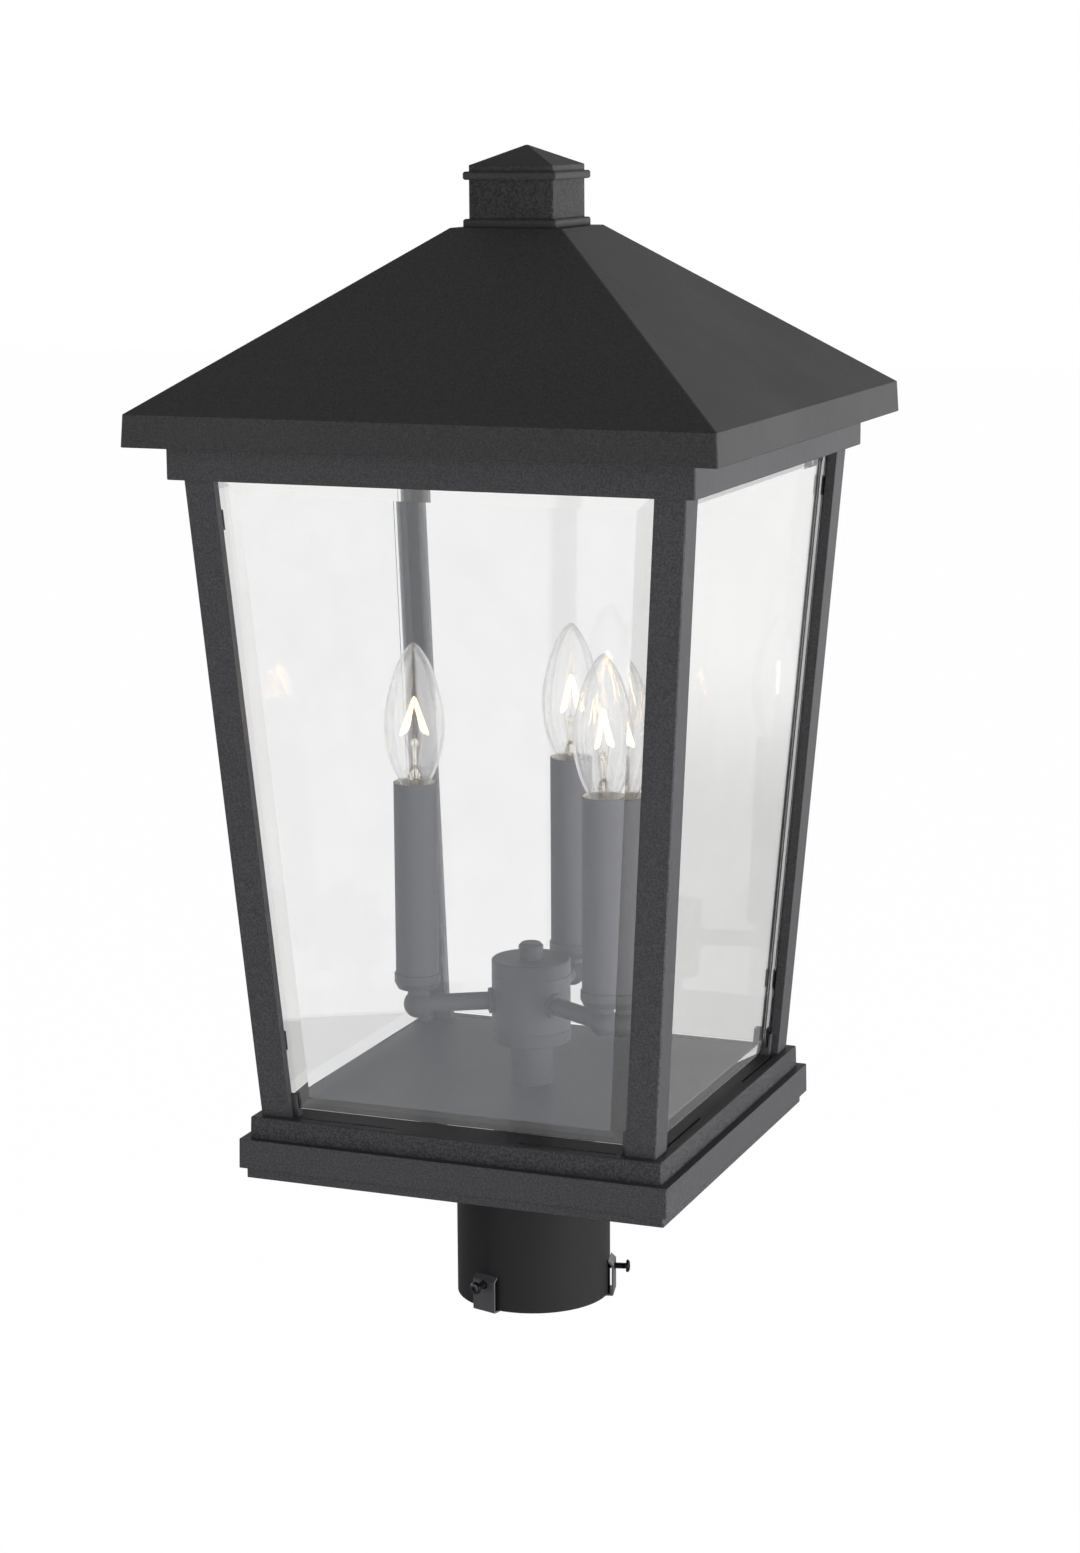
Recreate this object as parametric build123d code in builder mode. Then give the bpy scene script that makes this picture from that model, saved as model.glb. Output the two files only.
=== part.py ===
"""Post top lantern: a square tapered glazed cage on a round post fitter, with three candle lamps.

Units are millimetres.  +Z is up and the origin is the centre of the fitter's mouth.
The wide view of the lantern is its -Y side; corners, sides and lamps repeat round Z.
"""
import math
import os

from build123d import *

os.makedirs("parts", exist_ok=True)

# ---------------------------------------------------------------- driving dimensions
# heights above the fitter's mouth
base_bottom_z = 83.3
plate_top_z = 89.0
band_top_z = 104.2
deck_z = 115.3
frame_bottom_z = 443.3
frame_top_z = 460.1
fascia_top_z = 476.1
roof_top_z = 561.8

# full widths of the square sections at their bottoms, and how much they narrow to their tops
plate_width = 226.2
band_width = 232.2
band_draft = 0.5
step_width = 223.0
step_draft = 0.6
post_foot_span = 213.8
post_head_span = 260.0
frame_width = 272.4
roof_width = 304.8
fascia_draft = 1.8
roof_top_width = 59.8
casting_ease = 0.6
rim_ease = 0.4

# post fitter, its clips and its set screws
fitter_radius = 40.8
fitter_bore_radius = 38.6
fitter_disc = 3.0
fitter_screw_reach = 30.0
fitter_screw_angle = 74.0
clip_angles = (-106, 14, 134)
clip_width = 14.0
clip_height = 18.6
clip_sheet = 0.9
clip_stand_off = 1.8
clip_ease = 0.5
clip_lip_drop = 2.4
clip_leg_height = 14.0
clip_pocket_depth = 1.0
clip_pocket_clearance = 1.0
cut_overrun = 2.0
set_screw_z = 13.8
set_screw_radius = 1.75
set_screw_clearance = 0.6
set_screw_tip_gap = 0.4
set_screw_length = 10.8
set_screw_head_radius = 3.4
set_screw_head_height = 1.9
set_screw_head_ease = 0.9

# base castings
tray_wall = 3.0
wire_hole_radius = 11.0
pillar_radius = 5.0
pillar_spacing = 190.0
weep_slot_reach = 105.0
weep_slot_start = 34.0
weep_slot_end = 86.0
weep_slot_width = 1.4
weep_slot_depth = 1.5

# cage
post_leg = 16.0
post_wall = 5.0
post_screw_inset = 3.3
frame_wall = 3.0
frame_opening = 236.0
pane_thickness = 3.0
pane_edge_thickness = 1.4
pane_bevel = 7.0
pane_side_inset = 13.0
pane_bottom_z = 119.3
pane_top_gap = 0.4
rest_sheet = 1.0
rest_height = 11.5
rest_start = 10.0
rest_step = 16.2
rest_end = 19.0
corner_clip_sheet = 1.0
corner_clip_reach = 15.6
corner_clip_height = 10.0
corner_clip_levels = (150.0, 418.0)

# screws through the castings
screw_radius = 1.45
screw_hole_radius = 1.5
screw_head_width = 5.5
screw_head_height = 1.8
screw_length = 8.5

# roof, crossbar and finial
roof_wall = 2.0
soffit_opening = 256.0
skirt_width = 264.4
skirt_wall = 2.0
skirt_depth = 6.0
bar_width = 20.0
bar_thickness = 3.0
bar_length = 250.0
bar_screw_spacing = 242.0
stud_radius = 3.0
stud_bottom_z = 436.3
stud_top_z = 575.0
stud_nut_width = 10.0
stud_nut_height = 5.0
roof_hole_radius = 4.0
finial_flange_width = 49.7
finial_box_width = 45.0
finial_flange_height = 4.2
finial_box_top_z = 585.2
finial_flange_top_z = 589.3
finial_eave_z = 592.3
finial_tip_z = 602.1
finial_tip_width = 1.0
flange_ease = 0.8
finial_wall = 3.0
finial_boss_radius = 9.0
insert_radius = 6.0
insert_height = 13.0
insert_gap = 0.5
running_clearance = 0.05

# cluster: stem, hub, arms and elbows
pipe_radius = 4.8
pipe_bore_radius = 3.5
pipe_hole_radius = 4.85
pipe_bottom_z = 105.3
pipe_top_z = 186.9
stem_nut_width = 16.0
stem_radius = 11.1
stem_wall = 1.2
hub_radius = 20.75
hub_wall = 2.5
hub_bottom_z = 138.1
hub_lower_seam_z = 145.5
hub_upper_seam_z = 174.1
hub_top_z = 182.4
cap_wall = 2.0
cap_ease = 0.7
seam_groove = 0.35
seam_groove_height = 0.5
knob_radius = 6.5
knob_height = 8.5
knob_ease = 1.6
knob_thread_depth = 5.0
arm_z = 160.3
arm_radius = 4.7
arm_bore_radius = 3.2
arm_start = 12.5
arm_end = 54.5
collar_radius = 6.8
collar_end = 22.4
lock_nut_width = 13.0
lock_nut_height = 3.0
lock_nut_start = 13.5
candle_angles = (90, 210, 330)
candle_reach = 60.0
ball_radius = 7.5
pipe_seat_z = 163.8
neck_radius = 5.3

# candles
cup_bottom_z = 167.8
cup_rim_z = 177.3
cup_radius = 12.05
cup_wall = 0.75
cup_floor_z = 171.6
cup_shoulder_z = 172.8
cup_dish_radius = 10.4
cup_dish_z = 169.4
sleeve_radius = 11.25
sleeve_bore_radius = 10.3
sleeve_top_z = 278.9
holder_radius = 9.2
holder_bottom_z = 236.0
holder_thread = 7.0
holder_top_z = 272.0
socket_floor_z = 250.0
shell_radius = 6.7
shell_bore_radius = 6.0
shell_bottom_z = 257.5
shell_top_z = 271.0
tab_length = 5.0
tab_width = 3.0
bulb_contact_z = 254.0
bulb_contact_radius = 2.2
bulb_contact_tip_radius = 1.4
bulb_contact_rim_z = 254.8
bulb_contact_top_z = 256.4
bulb_base_foot_radius = 3.4
bulb_base_foot_z = 255.0
bulb_base_shoulder_z = 258.0
bulb_base_floor_z = 258.2
bulb_base_radius = 5.95
bulb_base_top_z = 271.5
bulb_foot_z = 262.0
bulb_neck_z = 273.0
bulb_neck_radius = 5.3
bulb_flank_radius = 12.6
bulb_flank_z = 291.2
bulb_belly_radius = 14.8
bulb_belly_z = 298.6
bulb_widest_radius = 15.6
bulb_widest_z = 308.0
bulb_waist_radius = 15.2
bulb_waist_z = 315.6
bulb_taper_radius = 13.9
bulb_taper_z = 323.4
bulb_shoulder_radius = 9.6
bulb_shoulder_z = 338.9
bulb_nose_radius = 5.3
bulb_nose_z = 347.2
bulb_tip_z = 351.8
bulb_tip_radius = 0.9
bulb_glass_wall = 0.8
mount_foot_z = 263.0
mount_flare_z = 264.0
mount_pinch_start_z = 269.0
mount_pinch_end_z = 281.0
mount_rod_z = 285.0
mount_rod_radius = 1.2
mount_pinch_radius = 2.9
bead_radius = 2.2
bead_half_height = 1.8
bead_z = 298.8
filament_radius = 0.35
filament_foot_z = 304.0
filament_apex_z = 324.0
filament_half_span = 5.0
filament_facings = (60, 20, 75)
lead_foot_z = 280.0
lead_foot_reach = 1.9

# ---------------------------------------------------------------- worked out from those
clip_pocket_height = clip_leg_height + clip_pocket_clearance
post_lean = (post_head_span - post_foot_span) / 2 / (frame_bottom_z - deck_z)
post_lean_angle = math.degrees(math.atan(post_lean))
pane_depth = pane_thickness / math.cos(math.radians(post_lean_angle))


def post_reach(height):
    """Distance from the lantern's axis to the outer faces of the posts at a height."""
    return post_foot_span / 2 + post_lean * (height - deck_z)


def level(height, turn=0.0):
    """Horizontal plane at a height, turned about the lantern's axis."""
    return Plane.XY.offset(height).rotated((0, 0, turn))


def outward(angle, reach, height):
    """Plane that faces outward along a horizontal radius, with its y axis up."""
    ray = Vector(1, 0, 0).rotate(Axis.Z, angle)
    side = Vector(0, 1, 0).rotate(Axis.Z, angle)
    return Plane(origin=ray * reach + Vector(0, 0, height), x_dir=side, z_dir=ray)


def candle_plane(angle):
    """Upright plane through a candle's axis: x is the candle's radius, y is the height."""
    foot = Vector(candle_reach, 0, 0).rotate(Axis.Z, angle)
    ray = Vector(1, 0, 0).rotate(Axis.Z, angle)
    return Plane(origin=foot, x_dir=ray, z_dir=ray.cross(Vector(0, 0, 1)))


def candle_axis(angle):
    """Upright axis of a candle."""
    return Axis(Vector(candle_reach, 0, 0).rotate(Axis.Z, angle), (0, 0, 1))


def corner_point(height, inset_x, inset_y):
    """Point inside the corner of the cage, given by its insets from the two outer faces."""
    reach = post_reach(height)
    return (reach - inset_x, reach - inset_y)


def leaning_extrusion(height, turn, mode=Mode.ADD):
    """Extrude the pending corner sketch upward, along the lean of that corner's post."""
    run = Vector(post_lean, post_lean, 1).rotate(Axis.Z, turn)
    extrude(amount=height * run.length, dir=run.normalized(), mode=mode)


def finish(part, name):
    """Label a finished piece and write it."""
    part.label = name
    export_step(part, f"parts/{name}.step")


def square_block(bottom_z, top_z, bottom_width, top_width):
    """Solid square block between two heights, drafted inward toward its top."""
    draft = math.degrees(math.atan((bottom_width - top_width) / 2 / (top_z - bottom_z)))
    with BuildPart() as block:
        with BuildSketch(level(bottom_z)):
            Rectangle(bottom_width, bottom_width)
        extrude(amount=top_z - bottom_z, taper=draft)
    return block.part


def eased_block(bottom_z, top_z, bottom_width, top_width, ease):
    """Drafted square block with its four corner edges broken by a small chamfer."""
    block = square_block(bottom_z, top_z, bottom_width, top_width)
    middle_z = (bottom_z + top_z) / 2
    corners = block.edges().filter_by(lambda edge: abs(edge.center().Z - middle_z) < 0.01)
    return block.chamfer(ease, None, corners)


# ---------------------------------------------------------------- post fitter and its clips
with BuildPart() as post_fitter:
    with BuildSketch(level(0)):
        Circle(fitter_radius)
        Circle(fitter_bore_radius, mode=Mode.SUBTRACT)
    extrude(amount=base_bottom_z)
    with BuildSketch(level(base_bottom_z)):
        Circle(fitter_bore_radius)
        Circle(wire_hole_radius, mode=Mode.SUBTRACT)
        with PolarLocations(fitter_screw_reach, 3, start_angle=fitter_screw_angle):
            Circle(screw_hole_radius, mode=Mode.SUBTRACT)
    extrude(amount=-fitter_disc)
    for angle in clip_angles:
        with BuildSketch(outward(angle, fitter_bore_radius - cut_overrun, clip_pocket_height / 2)):
            Rectangle(clip_width + clip_pocket_clearance, clip_pocket_height)
        extrude(amount=cut_overrun + clip_pocket_depth, mode=Mode.SUBTRACT)
        with BuildSketch(outward(angle, fitter_bore_radius, set_screw_z)):
            Circle(set_screw_radius + set_screw_clearance)
        extrude(amount=fitter_radius - fitter_bore_radius, mode=Mode.SUBTRACT)
finish(post_fitter.part, "post_fitter")

inner_leg_outside = fitter_bore_radius + clip_pocket_depth
inner_leg_inside = inner_leg_outside - clip_sheet
outer_leg_inside = fitter_radius + clip_stand_off
outer_leg_outside = outer_leg_inside + clip_sheet
with BuildPart() as u_nuts:
    for angle in clip_angles:
        side = Vector(0, 1, 0).rotate(Axis.Z, angle)
        ray = Vector(1, 0, 0).rotate(Axis.Z, angle)
        profile_plane = Plane(origin=side * (clip_width / 2), x_dir=ray, z_dir=side * -1)
        with BuildSketch(profile_plane):
            with BuildLine():
                Polyline(
                    (inner_leg_inside, clip_leg_height),
                    (inner_leg_inside, -clip_sheet),
                    (outer_leg_outside - clip_ease, -clip_sheet),
                    (outer_leg_outside, clip_ease - clip_sheet),
                    (outer_leg_outside, clip_height - clip_lip_drop),
                    (fitter_radius, clip_height),
                    (fitter_radius, clip_height - 1.3 * clip_sheet),
                    (outer_leg_inside, clip_height - clip_lip_drop - 0.5 * clip_sheet),
                    (outer_leg_inside, 0),
                    (inner_leg_outside, 0),
                    (inner_leg_outside, clip_leg_height),
                    close=True,
                )
            make_face()
        extrude(amount=clip_width)
        with BuildSketch(outward(angle, inner_leg_inside - cut_overrun, set_screw_z)):
            Circle(set_screw_radius + running_clearance)
        extrude(amount=clip_sheet + 2 * cut_overrun, mode=Mode.SUBTRACT)
        with BuildSketch(outward(angle, outer_leg_inside - cut_overrun, set_screw_z)):
            Circle(set_screw_radius + set_screw_clearance)
        extrude(amount=clip_sheet + 2 * cut_overrun, mode=Mode.SUBTRACT)
finish(u_nuts.part, "u_nuts")


def set_screw(angle):
    """Pan-head machine screw that runs in along a radius; its tip stops short of the bore."""
    tip = fitter_bore_radius + set_screw_tip_gap
    with BuildPart() as screw:
        with BuildSketch(outward(angle, tip, set_screw_z)):
            Circle(set_screw_radius)
        extrude(amount=set_screw_length)
        with BuildSketch(outward(angle, tip + set_screw_length, set_screw_z)):
            Circle(set_screw_head_radius)
        extrude(amount=set_screw_head_height)
        rims = screw.edges().filter_by(GeomType.CIRCLE)
        outside = outward(angle, 2 * fitter_radius, set_screw_z).origin
        chamfer(rims.sort_by_distance(outside)[0], set_screw_head_ease)
    return screw.part


for number, angle in enumerate(clip_angles, start=1):
    finish(set_screw(angle), f"set_screw_{number}")

# ---------------------------------------------------------------- base plate and base tray
plate_block = eased_block(base_bottom_z, plate_top_z, plate_width, plate_width, casting_ease)
with BuildPart() as base_plate:
    add(plate_block)
    with BuildSketch(level(base_bottom_z)):
        Circle(wire_hole_radius)
        with GridLocations(pillar_spacing, pillar_spacing, 2, 2):
            Circle(screw_hole_radius)
        with PolarLocations(fitter_screw_reach, 3, start_angle=fitter_screw_angle):
            Circle(screw_hole_radius)
    extrude(amount=plate_top_z - base_bottom_z, mode=Mode.SUBTRACT)
finish(base_plate.part, "base_plate")

deck_bottom_z = deck_z - tray_wall
tray_hollow_width = step_width - step_draft - 2 * tray_wall
post_screw_reach = post_reach(deck_z) - post_screw_inset
band_block = eased_block(
    plate_top_z, band_top_z, band_width, band_width - band_draft, casting_ease
)
step_block = eased_block(
    band_top_z, deck_z, step_width, step_width - step_draft, casting_ease
)
with BuildPart() as base_tray:
    add(band_block)
    add(step_block)
    chamfer(base_tray.faces().sort_by(Axis.Z)[-1].outer_wire().edges(), rim_ease)
    with BuildSketch(level(plate_top_z)):
        Rectangle(tray_hollow_width, tray_hollow_width)
    extrude(amount=deck_bottom_z - plate_top_z, mode=Mode.SUBTRACT)
    with BuildSketch(level(deck_bottom_z)):
        with GridLocations(pillar_spacing, pillar_spacing, 2, 2):
            Circle(pillar_radius)
    extrude(amount=plate_top_z - deck_bottom_z)
    with BuildSketch(level(plate_top_z)):
        with GridLocations(pillar_spacing, pillar_spacing, 2, 2):
            Circle(screw_hole_radius)
    extrude(amount=screw_length, mode=Mode.SUBTRACT)
    with BuildSketch(level(deck_z)):
        Circle(pipe_hole_radius)
        with GridLocations(2 * post_screw_reach, 2 * post_screw_reach, 2, 2):
            Circle(screw_hole_radius)
    extrude(amount=-tray_wall, mode=Mode.SUBTRACT)
    slot_length = weep_slot_end - weep_slot_start
    slot_middle = (weep_slot_end + weep_slot_start) / 2
    with BuildSketch(level(deck_z)):
        with GridLocations(2 * slot_middle, 2 * weep_slot_reach, 2, 2):
            Rectangle(slot_length, weep_slot_width)
        with GridLocations(2 * weep_slot_reach, 2 * slot_middle, 2, 2):
            Rectangle(weep_slot_width, slot_length)
    extrude(amount=-weep_slot_depth, mode=Mode.SUBTRACT)
finish(base_tray.part, "base_tray")


# ---------------------------------------------------------------- cage: posts, frame, panes
def corner_post(turn):
    """Leaning angle-section post, drilled at both ends for an upright screw."""
    with BuildPart() as post:
        with BuildSketch(level(deck_z, turn)):
            with BuildLine():
                Polyline(
                    corner_point(deck_z, 0, 0),
                    corner_point(deck_z, post_leg, 0),
                    corner_point(deck_z, post_leg, post_wall),
                    corner_point(deck_z, post_wall, post_wall),
                    corner_point(deck_z, post_wall, post_leg),
                    corner_point(deck_z, 0, post_leg),
                    close=True,
                )
            make_face()
        leaning_extrusion(frame_bottom_z - deck_z, turn)
        middle_z = (deck_z + frame_bottom_z) / 2
        corner = Vector(*corner_point(middle_z, 0, 0), middle_z).rotate(Axis.Z, turn)
        chamfer(post.edges().sort_by_distance(corner)[0], casting_ease)
        for end_z, depth in ((deck_z, screw_length), (frame_bottom_z, -screw_length)):
            with BuildSketch(level(end_z, turn)):
                with Locations(corner_point(end_z, post_screw_inset, post_screw_inset)):
                    Circle(screw_hole_radius)
            extrude(amount=depth, mode=Mode.SUBTRACT)
    return post.part


for number in range(4):
    finish(corner_post(90 * number), f"corner_post_{number + 1}")

frame_flange_top_z = frame_bottom_z + frame_wall
frame_screw_reach = post_reach(frame_bottom_z) - post_screw_inset
frame_block = eased_block(frame_bottom_z, frame_top_z, frame_width, frame_width, casting_ease)
with BuildPart() as top_frame:
    add(frame_block)
    chamfer(top_frame.faces().sort_by(Axis.Z)[0].edges(), rim_ease)
    with BuildSketch(level(frame_flange_top_z)):
        Rectangle(frame_width - 2 * frame_wall, frame_width - 2 * frame_wall)
    extrude(amount=frame_top_z - frame_flange_top_z, mode=Mode.SUBTRACT)
    with BuildSketch(level(frame_bottom_z)):
        Rectangle(frame_opening, frame_opening)
        with GridLocations(2 * frame_screw_reach, 2 * frame_screw_reach, 2, 2):
            Circle(screw_hole_radius)
        with GridLocations(bar_screw_spacing, 0, 2, 1):
            Circle(screw_hole_radius)
    extrude(amount=frame_wall, mode=Mode.SUBTRACT)
finish(top_frame.part, "top_frame")


def glass_pane(turn):
    """Tapered pane with a polished bevel all round its outer face."""
    outer_reach = post_reach(pane_bottom_z) - post_wall
    face_normal = Vector(0, -1, -post_lean).rotate(Axis.Z, turn)
    across = Vector(1, 0, 0).rotate(Axis.Z, turn)
    foot = Vector(0, -outer_reach, pane_bottom_z).rotate(Axis.Z, turn)
    front = Plane(origin=foot, x_dir=across, z_dir=face_normal)
    pane_top_z = frame_bottom_z - pane_top_gap
    height = (pane_top_z - pane_bottom_z) * math.hypot(1, post_lean)
    bottom_half = post_reach(pane_bottom_z) - pane_side_inset
    top_half = post_reach(pane_top_z) - pane_side_inset
    outline = ((-bottom_half, 0), (bottom_half, 0), (top_half, height), (-top_half, height))
    with BuildPart() as pane:
        with BuildSketch(front.offset(-pane_thickness)):
            with BuildLine():
                Polyline(*outline, close=True)
            make_face()
        extrude(amount=pane_edge_thickness)
        with BuildSketch(front.offset(pane_edge_thickness - pane_thickness)):
            with BuildLine():
                Polyline(*outline, close=True)
            make_face()
        bevel_height = pane_thickness - pane_edge_thickness
        extrude(amount=bevel_height, taper=math.degrees(math.atan(pane_bevel / bevel_height)))
    return pane.part


for number in range(4):
    finish(glass_pane(90 * number), f"pane_{number + 1}")

with BuildPart() as pane_rests:
    inner_lip = post_wall + pane_depth
    back = inner_lip + rest_sheet
    front_lip = post_wall - rest_sheet
    near = rest_start
    beside = rest_step
    far = rest_end
    for turn in (0, 90, 180, 270):
        for swap in (False, True):
            foot_outline = [
                (near, post_wall), (beside, post_wall), (beside, front_lip),
                (far, front_lip), (far, back), (near, back),
            ]
            front_outline = [
                (beside, front_lip), (far, front_lip), (far, post_wall), (beside, post_wall),
            ]
            back_outline = [(near, inner_lip), (far, inner_lip), (far, back), (near, back)]
            for outline, bottom_z, height in (
                (foot_outline, deck_z, pane_bottom_z - deck_z),
                (front_outline, pane_bottom_z, rest_height - (pane_bottom_z - deck_z)),
                (back_outline, pane_bottom_z, rest_height - (pane_bottom_z - deck_z)),
            ):
                insets = [(v, u) if swap else (u, v) for u, v in outline]
                with BuildSketch(level(bottom_z, turn)):
                    with BuildLine():
                        Polyline(*[corner_point(bottom_z, u, v) for u, v in insets], close=True)
                    make_face()
                leaning_extrusion(height, turn)
finish(pane_rests.part, "pane_rests")

with BuildPart() as pane_clips:
    near = post_wall
    face = post_wall + pane_depth
    back = face + corner_clip_sheet
    far = corner_clip_reach
    section = [
        (near, near), (back, near), (back, face), (far, face), (far, back), (back, back),
        (back, far), (face, far), (face, back), (near, back),
    ]
    for turn in (0, 90, 180, 270):
        for bottom_z in corner_clip_levels:
            with BuildSketch(level(bottom_z, turn)):
                with BuildLine():
                    Polyline(*[corner_point(bottom_z, u, v) for u, v in section], close=True)
                make_face()
            leaning_extrusion(corner_clip_height, turn)
finish(pane_clips.part, "pane_clips")

# ---------------------------------------------------------------- screws of the castings
screw_places = []
for reach, seat_z, thread in (
    (pillar_spacing / 2, base_bottom_z, 1),
    (post_screw_reach, deck_bottom_z, 1),
    (frame_screw_reach, frame_flange_top_z, -1),
):
    for x_sign in (-1, 1):
        for y_sign in (-1, 1):
            screw_places.append((x_sign * reach, y_sign * reach, seat_z, thread))
bar_top_z = frame_flange_top_z + bar_thickness
for x_sign in (-1, 1):
    screw_places.append((x_sign * bar_screw_spacing / 2, 0, bar_top_z, -1))
for number in range(3):
    spot = Vector(fitter_screw_reach, 0, 0).rotate(Axis.Z, fitter_screw_angle + 120 * number)
    screw_places.append((spot.X, spot.Y, plate_top_z, -1))
with BuildPart() as frame_screws:
    for x, y, seat_z, thread in screw_places:
        shank = bar_thickness + frame_wall if seat_z == bar_top_z else screw_length
        with BuildSketch(level(seat_z)):
            with Locations((x, y)):
                Circle(screw_radius)
        extrude(amount=thread * shank)
        with BuildSketch(level(seat_z)):
            with Locations((x, y)):
                RegularPolygon(screw_head_width / 2, 6, major_radius=False)
        extrude(amount=-thread * screw_head_height)
finish(frame_screws.part, "frame_screws")

# ---------------------------------------------------------------- crossbar, stud and nuts
with BuildPart() as roof_crossbar:
    with BuildSketch(level(frame_flange_top_z)):
        SlotOverall(bar_length, bar_width)
        Circle(stud_radius + running_clearance, mode=Mode.SUBTRACT)
        with GridLocations(bar_screw_spacing, 0, 2, 1):
            Circle(screw_hole_radius, mode=Mode.SUBTRACT)
    extrude(amount=bar_thickness)
finish(roof_crossbar.part, "roof_crossbar")

with BuildPart() as roof_stud:
    with BuildSketch(level(stud_bottom_z)):
        Circle(stud_radius)
    extrude(amount=stud_top_z - stud_bottom_z)
finish(roof_stud.part, "roof_stud")

with BuildPart() as stud_nuts:
    for seat_z in (frame_flange_top_z - stud_nut_height, bar_top_z):
        with BuildSketch(level(seat_z)):
            RegularPolygon(stud_nut_width / 2, 6, major_radius=False)
            Circle(stud_radius, mode=Mode.SUBTRACT)
        extrude(amount=stud_nut_height)
finish(stud_nuts.part, "stud_nuts")

# ---------------------------------------------------------------- roof
fascia_top_width = roof_width - fascia_draft
slope = (roof_top_z - fascia_top_z) / ((fascia_top_width - roof_top_width) / 2)
slope_drop = roof_wall * math.hypot(1, slope)
hollow_eave_width = fascia_top_width - 2 * roof_wall
hollow_top_z = roof_top_z - roof_wall
hollow_eave_z = fascia_top_z - slope_drop + slope * roof_wall
hollow_top_width = hollow_eave_width - 2 * (hollow_top_z - hollow_eave_z) / slope
soffit_top_z = frame_top_z + roof_wall
fascia_block = eased_block(
    frame_top_z, fascia_top_z, roof_width, fascia_top_width, casting_ease
)
pyramid_block = eased_block(
    fascia_top_z, roof_top_z, fascia_top_width, roof_top_width, casting_ease
)
eave_hollow = square_block(soffit_top_z, hollow_eave_z, hollow_eave_width, hollow_eave_width)
pyramid_hollow = square_block(hollow_eave_z, hollow_top_z, hollow_eave_width, hollow_top_width)
with BuildPart() as roof_shell:
    add(fascia_block)
    add(pyramid_block)
    chamfer(roof_shell.faces().sort_by(Axis.Z)[0].edges(), rim_ease)
    add(eave_hollow, mode=Mode.SUBTRACT)
    add(pyramid_hollow, mode=Mode.SUBTRACT)
    with BuildSketch(level(frame_top_z)):
        Rectangle(soffit_opening, soffit_opening)
    extrude(amount=roof_wall, mode=Mode.SUBTRACT)
    with BuildSketch(level(frame_top_z)):
        Rectangle(skirt_width, skirt_width)
        Rectangle(skirt_width - 2 * skirt_wall, skirt_width - 2 * skirt_wall, mode=Mode.SUBTRACT)
    extrude(amount=-skirt_depth)
    with BuildSketch(level(roof_top_z)):
        Circle(roof_hole_radius)
    extrude(amount=-roof_wall, mode=Mode.SUBTRACT)
finish(roof_shell.part, "roof_shell")

# ---------------------------------------------------------------- finial
finial_flange_z = roof_top_z + finial_flange_height
with BuildPart() as finial_cap:
    for bottom_z, top_z, width in (
        (roof_top_z, finial_flange_z, finial_flange_width),
        (finial_flange_z, finial_box_top_z, finial_box_width),
        (finial_box_top_z, finial_flange_top_z, finial_flange_width),
        (finial_flange_top_z, finial_eave_z, finial_box_width),
    ):
        with BuildSketch(level(bottom_z)):
            Rectangle(width, width)
        extrude(amount=top_z - bottom_z)
    chamfer(finial_cap.edges().filter_by(Axis.Z), casting_ease)
    for rim_z in (finial_flange_z, finial_box_top_z, finial_flange_top_z):
        rims = finial_cap.edges().filter_by(
            lambda edge: abs(edge.center().Z - rim_z) < 0.01
            and max(abs(edge.center().X), abs(edge.center().Y)) > finial_box_width / 2 + 1
        )
        chamfer(rims, flange_ease)
    with BuildSketch(level(finial_eave_z)):
        Rectangle(finial_box_width, finial_box_width)
    cap_rise = finial_tip_z - finial_eave_z
    cap_run = (finial_box_width - finial_tip_width) / 2
    extrude(amount=cap_rise, taper=math.degrees(math.atan(cap_run / cap_rise)))
    hollow_width = finial_box_width - 2 * finial_wall
    with BuildSketch(level(roof_top_z)):
        Rectangle(hollow_width, hollow_width)
        Circle(finial_boss_radius, mode=Mode.SUBTRACT)
    extrude(amount=finial_box_top_z - roof_top_z, mode=Mode.SUBTRACT)
    with BuildSketch(level(roof_top_z)):
        Circle(insert_radius + running_clearance)
    extrude(amount=insert_height + 2 * insert_gap, mode=Mode.SUBTRACT)
finish(finial_cap.part, "finial_cap")

with BuildPart() as finial_insert:
    with BuildSketch(level(roof_top_z + insert_gap)):
        Circle(insert_radius)
        Circle(stud_radius + running_clearance, mode=Mode.SUBTRACT)
    extrude(amount=insert_height)
finish(finial_insert.part, "finial_insert")

# ---------------------------------------------------------------- stem and hub
with BuildPart() as stem_pipe:
    with BuildSketch(level(pipe_bottom_z)):
        Circle(pipe_radius)
        Circle(pipe_bore_radius, mode=Mode.SUBTRACT)
    extrude(amount=pipe_top_z - pipe_bottom_z)
finish(stem_pipe.part, "stem_pipe")

with BuildPart() as stem_nut:
    with BuildSketch(level(deck_bottom_z)):
        RegularPolygon(stem_nut_width / 2, 6, major_radius=False)
        Circle(pipe_radius, mode=Mode.SUBTRACT)
    extrude(amount=-lock_nut_height)
finish(stem_nut.part, "stem_nut")

with BuildPart() as stem_cover:
    with BuildSketch(level(deck_z)):
        Circle(stem_radius)
        Circle(stem_radius - stem_wall, mode=Mode.SUBTRACT)
    extrude(amount=hub_bottom_z - deck_z)
finish(stem_cover.part, "stem_cover")

with BuildPart() as hub_body:
    with BuildSketch(level(hub_lower_seam_z)):
        Circle(hub_radius)
        Circle(hub_radius - hub_wall, mode=Mode.SUBTRACT)
    extrude(amount=hub_upper_seam_z - hub_lower_seam_z)
    for angle in candle_angles:
        with BuildSketch(outward(angle, hub_radius - 2 * hub_wall, arm_z)):
            Circle(arm_radius + running_clearance)
        extrude(amount=3 * hub_wall, mode=Mode.SUBTRACT)
finish(hub_body.part, "hub_body")


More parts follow.
